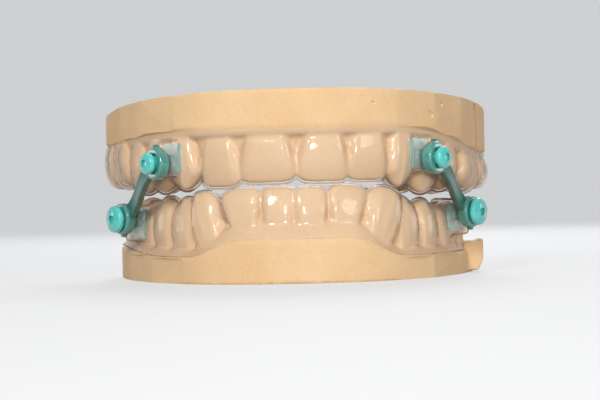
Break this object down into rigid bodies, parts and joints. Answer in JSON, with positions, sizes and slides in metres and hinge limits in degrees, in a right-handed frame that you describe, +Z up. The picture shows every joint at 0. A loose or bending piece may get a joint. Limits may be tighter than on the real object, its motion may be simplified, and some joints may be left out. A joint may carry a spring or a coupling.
{
  "type": "anti-snoring mouthpiece on dental models",
  "caption": "Clear upper and lower dental splints joined on each side by a swivelling teal connector strap, seated on plaster models of the teeth.",
  "frame": {"origin": "middle of the footprint, on the plane that the lower model's base stands on", "axes": "+X across the jaw to the right of the picture, +Z up through the teeth, -Y out of the incisors towards the viewer"},
  "size_m": [0.0692, 0.0452, 0.0313],
  "materials": {
    "dental_stone": "matt cast dental stone, beige",
    "clear_sheet": "clear thermoformed sheet, glossy",
    "teal_nylon": "translucent teal nylon, smooth",
    "teal_button": "translucent teal nylon, smooth, brighter",
    "teal_strap": "translucent teal nylon strap, smooth"
  },
  "bodies": {
    "lower": {"lower_model": "dental_stone", "lower_splint": "clear_sheet", "lower_left_anchor": "teal_nylon", "lower_left_button": "teal_button", "lower_right_anchor": "teal_nylon", "lower_right_button": "teal_button"},
    "left_arm": {"left_connector": "teal_strap"},
    "right_arm": {"right_connector": "teal_strap"},
    "upper": {"upper_model": "dental_stone", "upper_splint": "clear_sheet", "upper_left_anchor": "teal_nylon", "upper_left_button": "teal_button", "upper_right_anchor": "teal_nylon", "upper_right_button": "teal_button"}
  },
  "joints": [
    {"name": "left_lower_swivel", "type": "hinge", "parent": "lower", "child": "left_arm", "pos_m": [-0.02951, -0.00055, 0.0107], "axis": [-1, 0, 0], "range_deg": [0, 18]},
    {"name": "right_lower_swivel", "type": "hinge", "parent": "lower", "child": "right_arm", "pos_m": [0.02951, -0.00055, 0.0107], "axis": [-1, 0, 0], "range_deg": [0, 18]},
    {"name": "left_upper_swivel", "type": "hinge", "parent": "left_arm", "child": "upper", "pos_m": [-0.02262, -0.01544, 0.0197], "axis": [-1, 0, 0], "range_deg": [-13.5, 0]}
  ],
  "couplings": [
    {"joint": "right_lower_swivel", "follows": "left_lower_swivel", "ratio": 1},
    {"joint": "left_upper_swivel", "follows": "left_lower_swivel", "ratio": -0.75}
  ]
}
